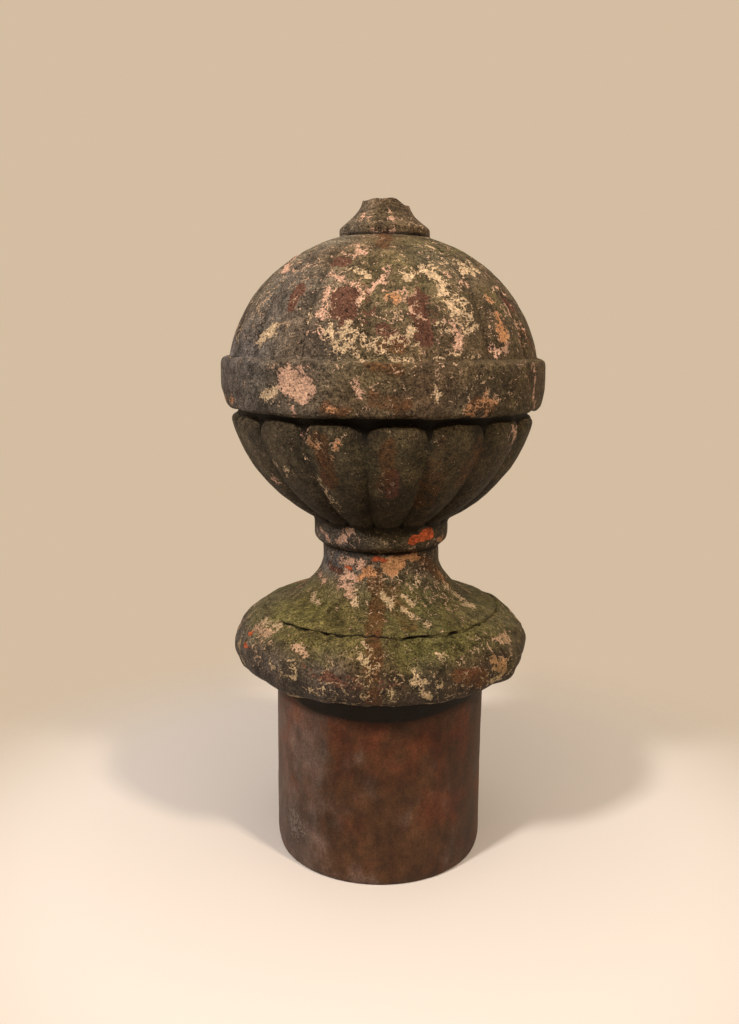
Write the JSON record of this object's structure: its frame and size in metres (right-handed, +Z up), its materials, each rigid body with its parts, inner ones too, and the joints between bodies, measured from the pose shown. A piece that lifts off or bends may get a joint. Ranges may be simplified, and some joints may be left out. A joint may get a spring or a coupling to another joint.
{
  "type": "roof finial",
  "caption": "Cast-iron roof finial: round spigot, bellied foot, flared neck and a lobed ball with a plain band, its spike broken off, in flaking old paint.",
  "frame": {"origin": "centre of the round foot, on the plane that it stands on", "axes": "+Z up along the turned axis; the mould seam's rust streak faces -Y"},
  "size_m": [0.207, 0.207, 0.4318],
  "materials": {
    "painted_iron": "old green paint flaking to pink and cream undercoats over rusted cast iron; the spigot is bare brown rust"
  },
  "bodies": {
    "root": {"finial": "painted_iron"}
  },
  "joints": []
}
